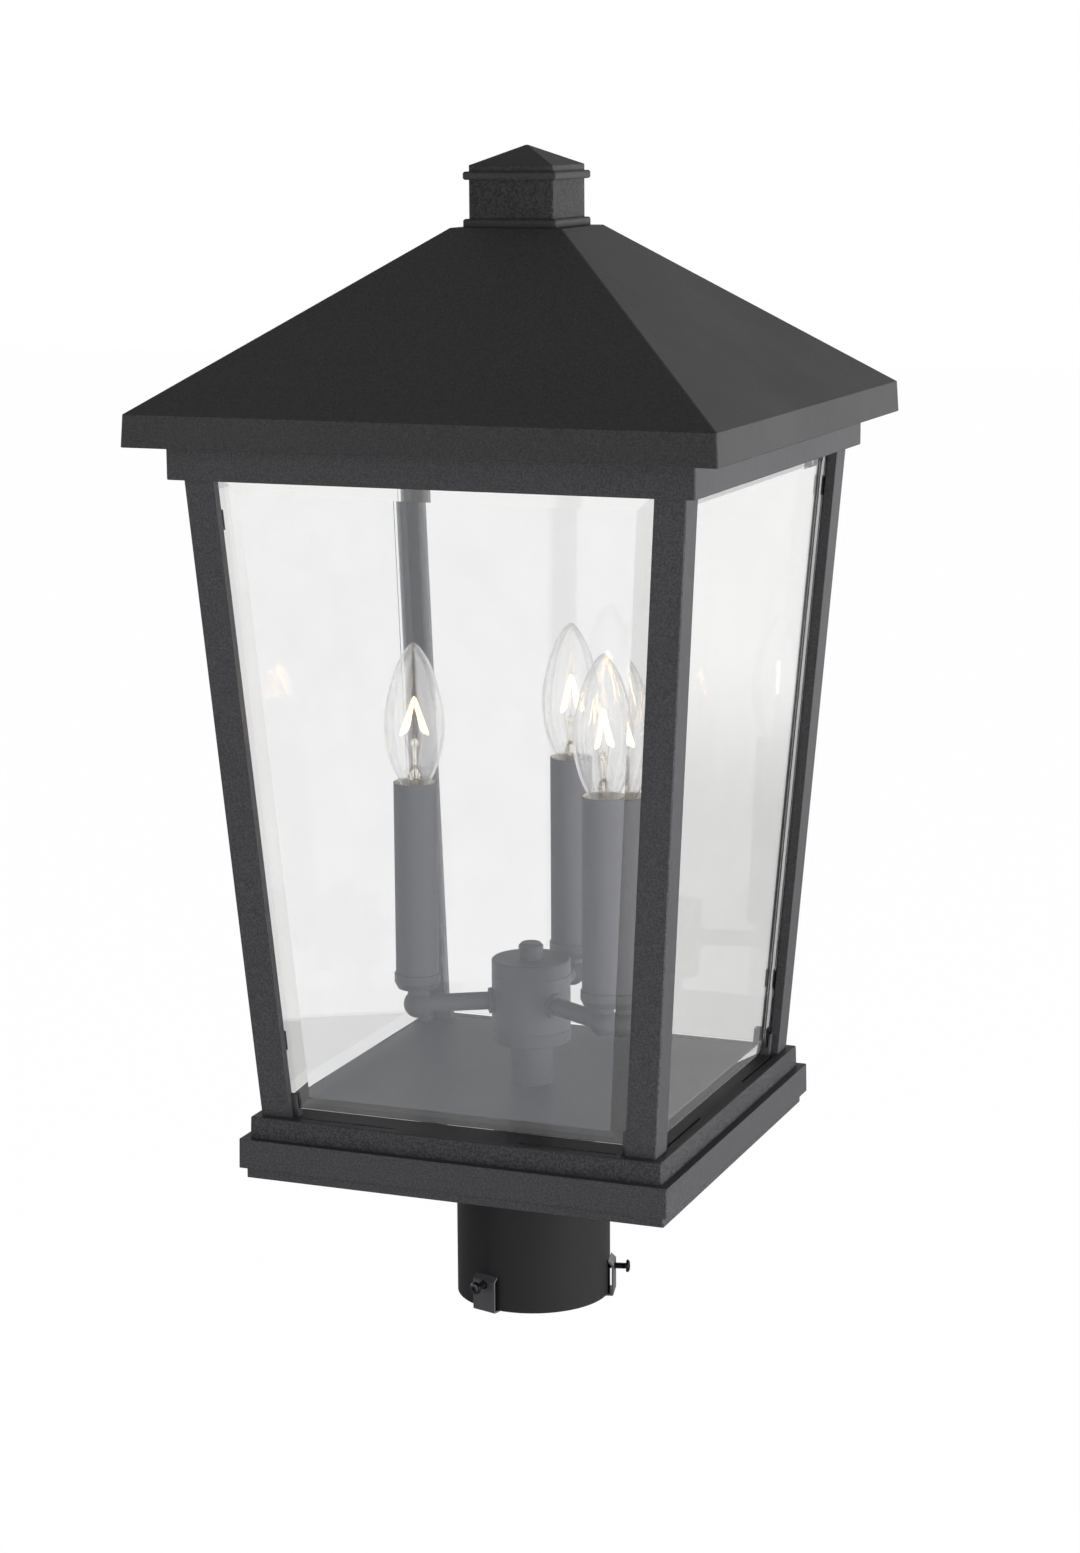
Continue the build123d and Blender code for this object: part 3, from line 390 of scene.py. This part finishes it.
def clear_glass(name, tint, rim, rim_share, ior=1.5, plain_share=0.0):
    """Clear glass that lets lamps through and darkens slightly where it is seen edge on.

    A thin blown wall has a plain share: where it is seen face on, little of it shows.
    """
    n = Nodes(name)
    n.tree.nodes.remove(n.shader)
    glass = n.tree.nodes.new("ShaderNodeBsdfGlass")
    glass.inputs["Roughness"].default_value = 0.0
    glass.inputs["IOR"].default_value = ior
    facing = n.tree.nodes.new("ShaderNodeLayerWeight")
    facing.inputs["Blend"].default_value = 0.2
    smear = n.noise(25.0, 3.0, 0.6)
    clean = n.colour(n.ramp(smear, 0.3, 0.75), tint, [c * 0.985 for c in tint])
    edge_on = n.sum(n.ramp(facing.outputs["Facing"], 0.35, 1.0), rim_share, "MULTIPLY")
    n.link(n.blend(edge_on, clean, rim), glass.inputs["Color"])
    open_way = n.tree.nodes.new("ShaderNodeBsdfTransparent")
    open_way.inputs["Color"].default_value = (*[c * c for c in tint], 1.0)
    path = n.tree.nodes.new("ShaderNodeLightPath")
    free = n.sum(path.outputs["Is Shadow Ray"], path.outputs["Is Diffuse Ray"], "MAXIMUM")
    if plain_share:
        face_on = n.ramp(facing.outputs["Facing"], 0.28, 0.5, plain_share, 0.0)
        free = n.sum(free, face_on, "MAXIMUM")
    n.link(mixed(n.tree, free, glass.outputs[0], open_way.outputs[0]), n.output.inputs["Surface"])
    return n.material


def glowing_wire(name, core, strength):
    """Lit tungsten coil, with cooler patches."""
    n = Nodes(name)
    heat = n.ramp(n.noise(350.0, 2.0, 0.5), 0.35, 0.65)
    n.link(n.colour(heat, core, (1.0, 0.62, 0.22)), n.shader.inputs["Emission Color"])
    n.shader.inputs["Emission Strength"].default_value = strength
    n.shader.inputs["Base Color"].default_value = (0.3, 0.25, 0.2, 1.0)
    n.shader.inputs["Roughness"].default_value = 0.5
    return n.material


def dress(material, *names):
    """Give CAD nodes a material."""
    for name in names:
        slots = nodes[name].data.materials
        slots.clear()
        slots.append(material)


def numbered(stem, count):
    """Names from stem_1 to stem_count."""
    return [f"{stem}_{number}" for number in range(1, count + 1)]


# ------------------------------------------------------------------ pieces built in mesh code
def smooth_curve(points, steps):
    """Points along a curve that passes smoothly through the given ones."""
    points = [Vector(point) for point in points]
    ends = [2 * points[0] - points[1], *points, 2 * points[-1] - points[-2]]
    curve = []
    for before, start, end, after in zip(ends, ends[1:], ends[2:], ends[3:]):
        for step in range(steps):
            t = step / steps
            pull = (end - before) * t + (2 * before - 5 * start + 4 * end - after) * t * t
            pull = pull + (3 * start - before - 3 * end + after) * t * t * t
            curve.append(start + pull * 0.5)
    curve.append(points[-1])
    return curve


def skin_rings(mesh, rings, closed=False):
    """Join rings of vertices into a surface; a ring of one vertex closes it as a point."""
    loops = [[mesh.verts.new(point) for point in ring] for ring in rings]
    pairs = list(zip(loops, loops[1:]))
    if closed:
        pairs.append((loops[-1], loops[0]))
    for lower, upper in pairs:
        count = max(len(lower), len(upper))
        for index in range(count):
            following = (index + 1) % count
            corners = [lower[index % len(lower)]]
            if len(lower) > 1:
                corners.append(lower[following])
            if len(upper) > 1:
                corners.append(upper[following])
            corners.append(upper[index % len(upper)])
            if len(corners) > 2:
                mesh.faces.new(corners)


def turned_rings(profile, segments):
    """Rings about the z axis from (radius, height) pairs; a radius may be one for each segment."""
    rings = []
    for radius, height in profile:
        if isinstance(radius, (int, float)) and radius < 1e-4:
            rings.append([Vector((0, 0, height))])
            continue
        ring = []
        for index in range(segments):
            angle = 2 * math.pi * index / segments
            reach = radius if isinstance(radius, (int, float)) else radius[index]
            ring.append(Vector((reach * math.cos(angle), reach * math.sin(angle), height)))
        rings.append(ring)
    return rings


def threaded_profile(crest, root, pitch, start, end, segments, rings_per_turn=6):
    """Rings of a helical thread between two heights, with rounded crests and roots."""
    profile = []
    count = max(2, round((end - start) / pitch * rings_per_turn))
    for ring in range(count + 1):
        height = start + (end - start) * ring / count
        fade = min(1.0, 2.0 * (height - start) / pitch, 2.0 * (end - height) / pitch)
        radii = []
        for index in range(segments):
            wave = 0.5 + 0.5 * math.cos(2 * math.pi * ((height - start) / pitch - index / segments))
            radii.append(root + (crest - root) * wave * fade)
        profile.append((radii, height))
    return profile


def tube_rings(path, radius, sides):
    """Rings of a round wire along a path."""
    rings = []
    side = Vector((0.31, 0.95, 0.05))
    for index, point in enumerate(path):
        ahead = path[min(index + 1, len(path) - 1)] - path[max(index - 1, 0)]
        ahead.normalize()
        side = (side - ahead * side.dot(ahead)).normalized()
        other = ahead.cross(side)
        rings.append([
            point + side * (radius * math.cos(2 * math.pi * k / sides))
            + other * (radius * math.sin(2 * math.pi * k / sides))
            for k in range(sides)
        ])
    return [[path[0]], *rings, [path[-1]]]


def piece(name, mesh, place, material, body, *replaced, smooth_angle=40.0):
    """Put a finished mesh, made in millimetres about its own axis, where it belongs."""
    bmesh.ops.recalc_face_normals(mesh, faces=mesh.faces)
    mesh.transform(place @ Matrix.Scale(millimetre, 4))
    data = bpy.data.meshes.new(name)
    mesh.to_mesh(data)
    mesh.free()
    data.materials.append(material)
    data.shade_smooth()
    data.set_sharp_from_angle(angle=math.radians(smooth_angle))
    thing = bpy.data.objects.new(name, data)
    scene.collection.objects.link(thing)
    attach(thing, body)
    if replaced:
        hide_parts(*replaced)
    return thing


def candle_place(angle, facing=0.0):
    """Placement on a candle's axis, turned to face a way."""
    turn = math.radians(angle)
    centre = (candle_reach * math.cos(turn), candle_reach * math.sin(turn), 0)
    return Matrix.Translation(centre) @ Matrix.Rotation(math.radians(facing), 4, "Z")


def bevelled_pane():
    """Tapered pane with a wide polished bevel; its foot is at the origin, z outward."""
    foot_half, head_half, height = 94.18, 116.97, 324.4
    thickness, bevel, bevel_depth, arris, hidden = 3.0, 13.0, 1.55, 0.3, 6.0
    spread = (head_half - foot_half) / height

    def outline(inset, level):
        low, high = inset - hidden, height + hidden - inset
        slant = inset * math.hypot(1, spread)
        return [Vector((side * (foot_half + spread * y - slant), y, level))
                for side, y in ((-1, low), (1, low), (1, high), (-1, high))]

    mesh = bmesh.new()
    skin_rings(mesh, [outline(arris, -thickness), outline(0, arris - thickness),
                      outline(0, -bevel_depth), outline(bevel, 0)])
    mesh.verts.ensure_lookup_table()
    mesh.faces.new(mesh.verts[:4])
    mesh.faces.new(mesh.verts[-4:])
    for level, way in ((0, -1), (height, 1)):
        everything = mesh.verts[:] + mesh.edges[:] + mesh.faces[:]
        trimmed = bmesh.ops.bisect_plane(mesh, geom=everything, dist=1e-5, plane_co=(0, level, 0),
                                         plane_no=(0, way, 0), clear_outer=True)
        rim = [part for part in trimmed["geom_cut"] if isinstance(part, bmesh.types.BMEdge)]
        bmesh.ops.contextual_create(mesh, geom=rim)
    return mesh


def pane_place(turn):
    """Placement in the plane of a pane's outer face, middle of its foot."""
    foot_reach, foot_level, lean = 102.18, 119.3, math.radians(4.0285)
    foot = Matrix.Translation((0, -foot_reach * millimetre, foot_level * millimetre))
    tilt = Matrix.Rotation(math.radians(90) + lean, 4, "X")
    return Matrix.Rotation(math.radians(turn), 4, "Z") @ foot @ tilt


def bulb_envelope():
    """Blown torpedo envelope with an even wall and a drawn tip."""
    wall = 0.55
    outline = smooth_curve(
        [(5.3, 0, 262), (5.3, 0, 270), (5.9, 0, 274), (8.4, 0, 279.8), (11.2, 0, 285.9), (13.5, 0, 292.8),
         (15.05, 0, 300.2), (15.6, 0, 308), (15.15, 0, 316), (13.7, 0, 324), (11.5, 0, 332.6),
         (9.4, 0, 338.8), (7.2, 0, 343.4), (4.9, 0, 347.2), (2.7, 0, 350.0), (1.1, 0, 351.4)], 3)
    inside = []
    last = len(outline) - 1
    for index, point in enumerate(outline):
        run = outline[min(index + 1, last)] - outline[max(index - 1, 0)]
        inward = Vector((-run.z, 0, run.x)).normalized()
        inside.append(point + inward * wall)
    profile = [(point.x, point.z) for point in outline] + [(0, 351.75), (0, 350.9)]
    profile += [(max(point.x, 0.12), point.z) for point in reversed(inside)]
    mesh = bmesh.new()
    skin_rings(mesh, turned_rings(profile, 48), closed=True)
    return mesh


def bulb_stem():
    """Glass mount: flare in the neck, crumpled pinch, drawn rod and bead."""
    pinch_level, pinch_reach = 281.0, 5.5
    profile = smooth_curve(
        [(4.3, 0, 263.2), (3.7, 0, 266.0), (3.0, 0, 270.0), (2.7, 0, 275.0), (2.8, 0, 279.0), (3.1, 0, 281.5),
         (3.0, 0, 284.0), (2.0, 0, 286.2), (1.15, 0, 288.0), (1.0, 0, 291.5), (1.05, 0, 295.5),
         (1.5, 0, 297.6), (2.1, 0, 299.2), (1.9, 0, 300.6), (1.0, 0, 301.5), (0, 0, 301.8)], 3)
    rings = turned_rings([(point.x, point.z) for point in profile], 20)
    for ring in rings:
        for point in ring:
            pressed = max(0.0, 1.0 - abs(point.z - pinch_level) / pinch_reach)
            dent = 1.0 + 0.16 * pressed * math.sin(2.6 * point.z + 3.0 * math.atan2(point.y, point.x))
            point.x *= dent * (1.0 + 0.15 * pressed)
            point.y *= dent * (1.0 - 0.42 * pressed)
    mesh = bmesh.new()
    skin_rings(mesh, [[Vector((0, 0, 263.2))], *rings])
    return mesh


def filament_coil():
    """Fine coil that rises from one foot to the apex and falls to the other."""
    feet, apex = 304.4, 323.2
    half_span, coil_radius, pitch = 4.9, 0.64, 0.95
    most_sag, wire_radius, steps_per_turn = 0.5, 0.21, 9
    path = []
    for start, end in (((-half_span, feet), (0, apex)), ((0, apex), (half_span, feet))):
        run = Vector((end[0] - start[0], 0, end[1] - start[1]))
        turns = run.length / pitch
        ahead = run.normalized()
        side = Vector((0, 1, 0))
        other = ahead.cross(side)
        steps = round(turns * steps_per_turn)
        for step in range(steps + 1):
            share = step / steps
            angle = 2 * math.pi * turns * share
            sag = most_sag * math.sin(math.pi * share)
            centre = Vector((start[0], 0, start[1])) + run * share - Vector((0, 0, sag))
            reach = coil_radius * min(1.0, 12 * min(share, 1 - share) + 0.15)
            path.append(centre + side * (reach * math.cos(angle)) + other * (reach * math.sin(angle)))
    mesh = bmesh.new()
    skin_rings(mesh, tube_rings(path, wire_radius, 5))
    return mesh


def lead_wires():
    """Two lead wires from the pinch to the coil's feet, and the hook that holds its apex."""
    lead_radius, hook_radius = 0.22, 0.11
    mesh = bmesh.new()
    for sign in (-1, 1):
        path = smooth_curve(
            [(1.2 * sign, 0, 281.0), (1.9 * sign, 0, 286.0), (2.5 * sign, 0, 291.0), (3.9 * sign, 0, 299.0),
             (4.9 * sign, 0, 304.2)], 5)
        skin_rings(mesh, tube_rings(path, lead_radius, 8))
    hook = smooth_curve(
        [(0, 0.2, 300.5), (0.3, 1.3, 307.0), (0.2, 1.0, 317.0), (0, 0.5, 322.6), (0, -0.9, 323.5)], 5)
    skin_rings(mesh, tube_rings(hook, hook_radius, 6))
    return mesh


def screw_shell():
    """Rolled screw shell of a small bulb, open at the top and tapered at the foot."""
    segments = 36
    thread = threaded_profile(5.95, 5.35, 2.54, 258.4, 270.2, segments, 10)
    profile = [(2.3, 255.0), (3.3, 255.0), (5.3, 258.2), *thread, (5.4, 270.6), (5.5, 271.5), (5.3, 271.5)]
    profile += [(5.3, 262.0), (5.0, 259.5), (2.3, 258.2)]
    mesh = bmesh.new()
    skin_rings(mesh, turned_rings(profile, segments), closed=True)
    return mesh


def machine_screw():
    """Pan-head screw with a rolled thread and a cross recess; its tip is at the origin, along z."""
    segments = 24
    recess_level, recess_turn, recess_taper = 12.9, 20, 0.45
    thread = threaded_profile(1.75, 1.42, 0.7, 0.3, 10.5, segments, 8)
    profile = [(0, 0), (1.1, 0), (1.42, 0.3), *thread, (1.5, 10.8), (3.2, 10.8)]
    profile += [(3.36, 10.95), (3.4, 11.25), (3.3, 11.75), (2.95, 12.25), (2.3, 12.55)]
    profile += [(1.2, 12.68), (0, 12.7)]
    screw = bmesh.new()
    skin_rings(screw, turned_rings(profile, segments))
    bmesh.ops.recalc_face_normals(screw, faces=screw.faces)
    cutter = bmesh.new()
    for turn in (0, 90):
        arm = bmesh.ops.create_cube(cutter, size=1.0)["verts"]
        bmesh.ops.scale(cutter, vec=(3.9, 0.85, 2.6), verts=arm)
        way = Matrix.Rotation(math.radians(turn + recess_turn), 3, "Z")
        bmesh.ops.rotate(cutter, verts=arm, matrix=way)
        bmesh.ops.translate(cutter, vec=(0, 0, recess_level), verts=arm)
        for vertex in arm:
            if vertex.co.z < recess_level:
                vertex.co.x *= recess_taper
                vertex.co.y *= recess_taper
    return cut_away(screw, cutter)


def cut_away(solid, cutter):
    """Cut one mesh out of another and return what is left."""
    things = []
    for name, mesh in (("cut_from", solid), ("cut_with", cutter)):
        data = bpy.data.meshes.new(name)
        mesh.to_mesh(data)
        mesh.free()
        thing = bpy.data.objects.new(name, data)
        scene.collection.objects.link(thing)
        things.append(thing)
    cut = things[0].modifiers.new("cut", "BOOLEAN")
    cut.operation = "DIFFERENCE"
    cut.solver = "EXACT"
    cut.use_self = True
    cut.object = things[1]
    bpy.context.view_layer.update()
    result = things[0].evaluated_get(bpy.context.evaluated_depsgraph_get())
    left = bmesh.new()
    left.from_mesh(bpy.data.meshes.new_from_object(result))
    for thing in things:
        bpy.data.objects.remove(thing)
    return left


def build_pieces():
    """Replace the plain CAD stand-ins by detailed pieces."""
    envelope = clear_glass("bulb_glass", (1.0, 1.0, 0.999), (0.3, 0.31, 0.32), 0.5, 1.44, 0.78)
    stem = clear_glass("mount_glass", (1.0, 0.975, 0.92), (0.62, 0.47, 0.30), 0.35, 1.5)
    coil = glowing_wire("lit_wire", (1.0, 0.72, 0.34), 18.0)
    pane = clear_glass("pane_glass", (0.976, 0.975, 0.974), (0.80, 0.86, 0.85), 0.1, 1.75)
    for number, turn in enumerate((0, 90, 180, 270), start=1):
        glazing = piece(f"bevelled_pane_{number}", bevelled_pane(), pane_place(turn), pane, "lantern",
                        f"pane_{number}", smooth_angle=1.0)
    leads = bare_metal("lead_wire", (0.62, 0.58, 0.52), 0.3)
    nickel = bare_metal("nickel_shell", (0.78, 0.74, 0.68), 0.22)
    steel = bare_metal("black_steel_screw", (0.10, 0.10, 0.105), 0.24)
    for number, angle, facing in zip((1, 2, 3), candle_angles, filament_turns):
        body = f"bulb_{number}"
        place = candle_place(angle, facing)
        for stem_name, mesh, material, slot, *replaced in (
            ("glass_envelope", bulb_envelope(), envelope, "bulb_glass", "bulb_glass"),
            ("glass_mount", bulb_stem(), stem, "bulb_glass", "bulb_mount"),
            ("lit_coil", filament_coil(), coil, "filament", "bulb_filament"),
            ("lead_wires", lead_wires(), leads, "nickel"),
            ("screw_shell", screw_shell(), nickel, "nickel", "bulb_base"),
        ):
            names = [f"{node}_{number}" for node in replaced]
            piece(f"{stem_name}_{number}", mesh, place, material, body, *names)
    outward = Matrix.Rotation(math.radians(90), 4, "Y")
    for number, angle in enumerate(clip_angles, start=1):
        turn = Matrix.Rotation(math.radians(angle), 4, "Z")
        place = turn @ Matrix.Translation((screw_tip_reach, 0, screw_level)) @ outward
        node = f"set_screw_{number}"
        screw = piece(f"machine_screw_{number}", machine_screw(), place, steel, node, node)


def dress_nodes():
    """Put every carried-over CAD node in its material."""
    coat = powder_coat("powder_coat", (0.017, 0.017, 0.018), 0.5, 1000.0, 0.00015)
    dress(coat, "base_plate", "base_tray", "top_frame", *numbered("corner_post", 4))
    # painted shade: the roof and finial take a darker copy of the same coat for the dimmer light that falls
    # on them
    roof = powder_coat("powder_coat_roof_painted_shade", (0.0118, 0.0118, 0.0123), 0.52, 1000.0, 0.00013)
    dress(roof, "roof_shell", "finial_cap")
    fitter_paint = smooth_paint("fitter_paint", (0.0035, 0.0035, 0.0038), 0.46, 0.00002, gloss=0.2)
    dress(fitter_paint, "post_fitter")
    dress(
        smooth_paint("cluster_paint", (0.02, 0.02, 0.0215), 0.5, 0.000002),
        "stem_cover", "hub_body", "hub_top_cap", "hub_bottom_cap", "hub_knob", "arm_collars",
        "elbows", "candle_cups", *numbered("arm", 3),
    )
    for number, angle in enumerate(candle_angles, start=1):
        # painted light: each sleeve's inside is painted pale and warm for the filament's light on its inner
        # wall
        painted_lit_inside = (candle_place(angle).translation, sleeve_bore_radius, (0.80, 0.75, 0.66))
        paint = smooth_paint(f"sleeve_paint_{number}", (0.025, 0.025, 0.0275), 0.62, 0.000002, painted_lit_inside)
        dress(paint, f"candle_sleeve_{number}")
    clip_paint = smooth_paint("clip_paint", (0.025, 0.025, 0.027), 0.32)
    dress(clip_paint, "u_nuts", "pane_rests", "pane_clips")
    dress(bare_metal("zinc_steel", (0.62, 0.62, 0.63), 0.32, (1.0, 1.0, 0.1)),
          "roof_crossbar", "roof_stud", "stud_nuts", "stem_pipe", "stem_nut", "arm_lock_nuts",
          "candle_pipes")
    dress(bare_metal("black_steel", (0.09, 0.09, 0.10), 0.3), "frame_screws")
    dress(moulded_plastic("holder_plastic", (0.035, 0.033, 0.032), 0.5), "lampholders")
    dress(bare_metal("plain_brass", (0.78, 0.58, 0.26), 0.28), "finial_insert", "socket_contacts")
    dress(bare_metal("solder", (0.7, 0.7, 0.72), 0.35), *numbered("bulb_contact", 3))


aim_camera()
set_world()
add_floor()
studio_card("dark_table", (0, 0, -0.45), (0, 0, 1), 9.0, 9.0, 0.2, fade=(2.7, 3.9))
studio_card("camera_flag", (1.1, -2.8, 0.5), (-0.37, 0.93, 0), 3.4, 3.0, 0.06)
studio_card("front_reflector", (-0.38, -1.0, -0.07), (0, 1, 0), 0.62, 0.76, 1.0, (0.94, 0.98, 1.08))
area_lamp("right_panel", (1.95, -0.30, 0.02), (0, 0, 0.25), 1.1, 0.9, 132.0)
area_lamp("front_panel", (-1.5, -1.9, 0.45), (0, 0, 0.3), 1.2, 1.2, 27.0)

dress_nodes()
build_pieces()
scene.view_settings.view_transform = "Standard"
